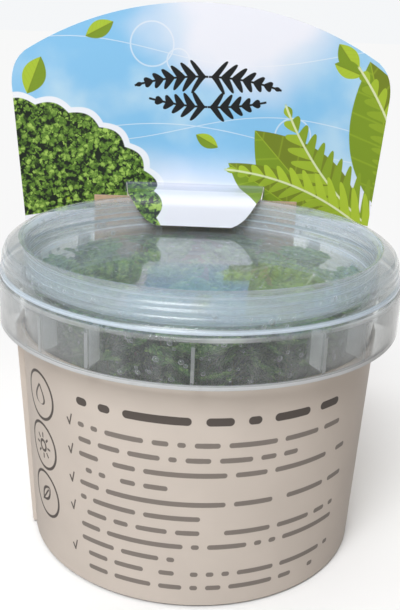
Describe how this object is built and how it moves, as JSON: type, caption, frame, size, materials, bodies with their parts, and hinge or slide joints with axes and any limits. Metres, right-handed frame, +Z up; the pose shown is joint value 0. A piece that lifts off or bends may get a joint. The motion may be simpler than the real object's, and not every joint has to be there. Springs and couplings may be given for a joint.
{
  "type": "spikemoss culture cup",
  "caption": "Leafy spikemoss standing on clear gel in a lidded see-through culture cup, wrapped in a card sleeve with an upright header card hooked over the lid.",
  "frame": {"origin": "centre of the cup's flat base", "axes": "+Z up out of the cup, +Y from the front of the cup to the header card behind the lid, +X to the right as the front is seen"},
  "size_m": [0.1154, 0.106, 0.1383],
  "materials": {
    "cup": "clear polypropylene, lightly frosted",
    "lid": "clear polypropylene, glossy panel and lightly frosted rim",
    "sleeve": "coated cream board, bare grey-brown board inside",
    "header_card": "printed board with a light satin coat",
    "gel": "clear firm culture gel, wet and smooth",
    "leaves": "fresh green scale leaves, satin"
  },
  "bodies": {
    "root": {"cup": "cup", "lid": "lid", "sleeve": "sleeve", "header_card": "header_card", "gel": "gel", "spray_01": "leaves", "spray_02": "leaves", "spray_03": "leaves", "spray_04": "leaves", "spray_05": "leaves", "spray_06": "leaves", "spray_07": "leaves", "spray_08": "leaves", "spray_09": "leaves", "spray_10": "leaves", "spray_11": "leaves", "spray_12": "leaves", "spray_13": "leaves", "spray_14": "leaves", "spray_15": "leaves", "spray_16": "leaves", "spray_17": "leaves", "spray_18": "leaves", "spray_19": "leaves", "spray_20": "leaves", "spray_21": "leaves", "spray_22": "leaves"}
  },
  "joints": []
}
